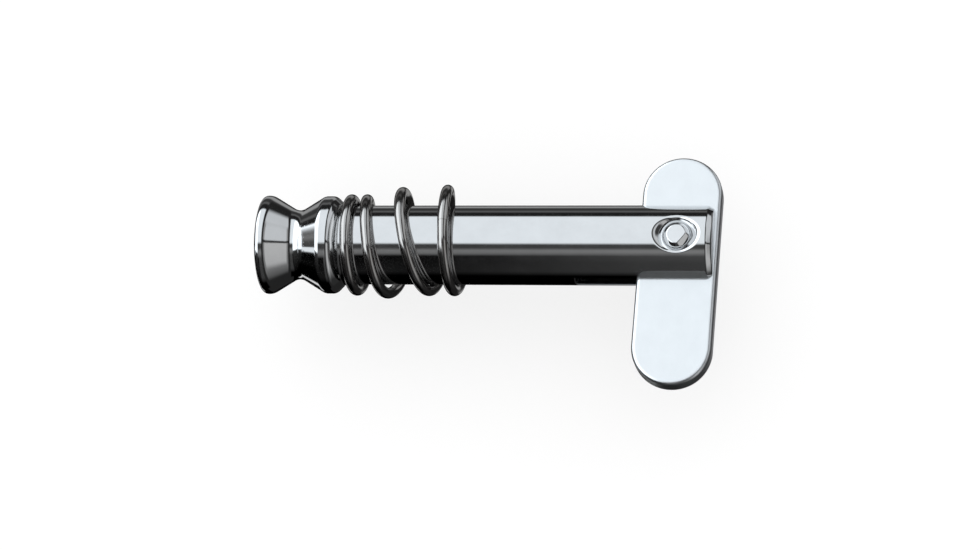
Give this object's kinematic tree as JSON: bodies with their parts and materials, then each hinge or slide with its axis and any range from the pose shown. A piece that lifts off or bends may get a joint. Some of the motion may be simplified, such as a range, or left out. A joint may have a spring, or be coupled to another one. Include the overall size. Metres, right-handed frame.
{
  "type": "drop-nose quick-release hitch pin",
  "caption": "Turned steel pin with a pull knob, a compression spring against the flange and a flat nose that swings on a rivet to lock it in a hitch hole.",
  "frame": {"origin": "centre of the pull knob's outer face, on the shank's axis", "axes": "+X along the shank from the knob to the slotted tip, +Z along the rivet and square to the nose plate, -Y along the long arm of the nose as it hangs"},
  "size_m": [0.0463, 0.0235, 0.0114],
  "materials": {
    "pin_steel": "polished stainless steel",
    "nose_steel": "satin stainless sheet with bright rolled edges",
    "rivet_steel": "polished stainless steel, peened ends",
    "spring_wire": "bright drawn stainless wire"
  },
  "bodies": {
    "pin": {"pin_body": "pin_steel", "rivet": "rivet_steel", "spring": "spring_wire"},
    "nose": {"nose_plate": "nose_steel"},
    "spring_end": {"spring_free_end": "spring_wire"}
  },
  "joints": [
    {"name": "nose_swing", "type": "hinge", "parent": "pin", "child": "nose", "pos_m": [0.04214, 0, 0], "axis": [0, 0, 1], "range_deg": [-45, 229]},
    {"name": "spring_press", "type": "slide", "parent": "pin", "child": "spring_end", "axis": [-1, 0, 0], "range_m": [0, 0.0058], "stiffness_N_per_m": 20, "deforming": ["spring"]}
  ]
}
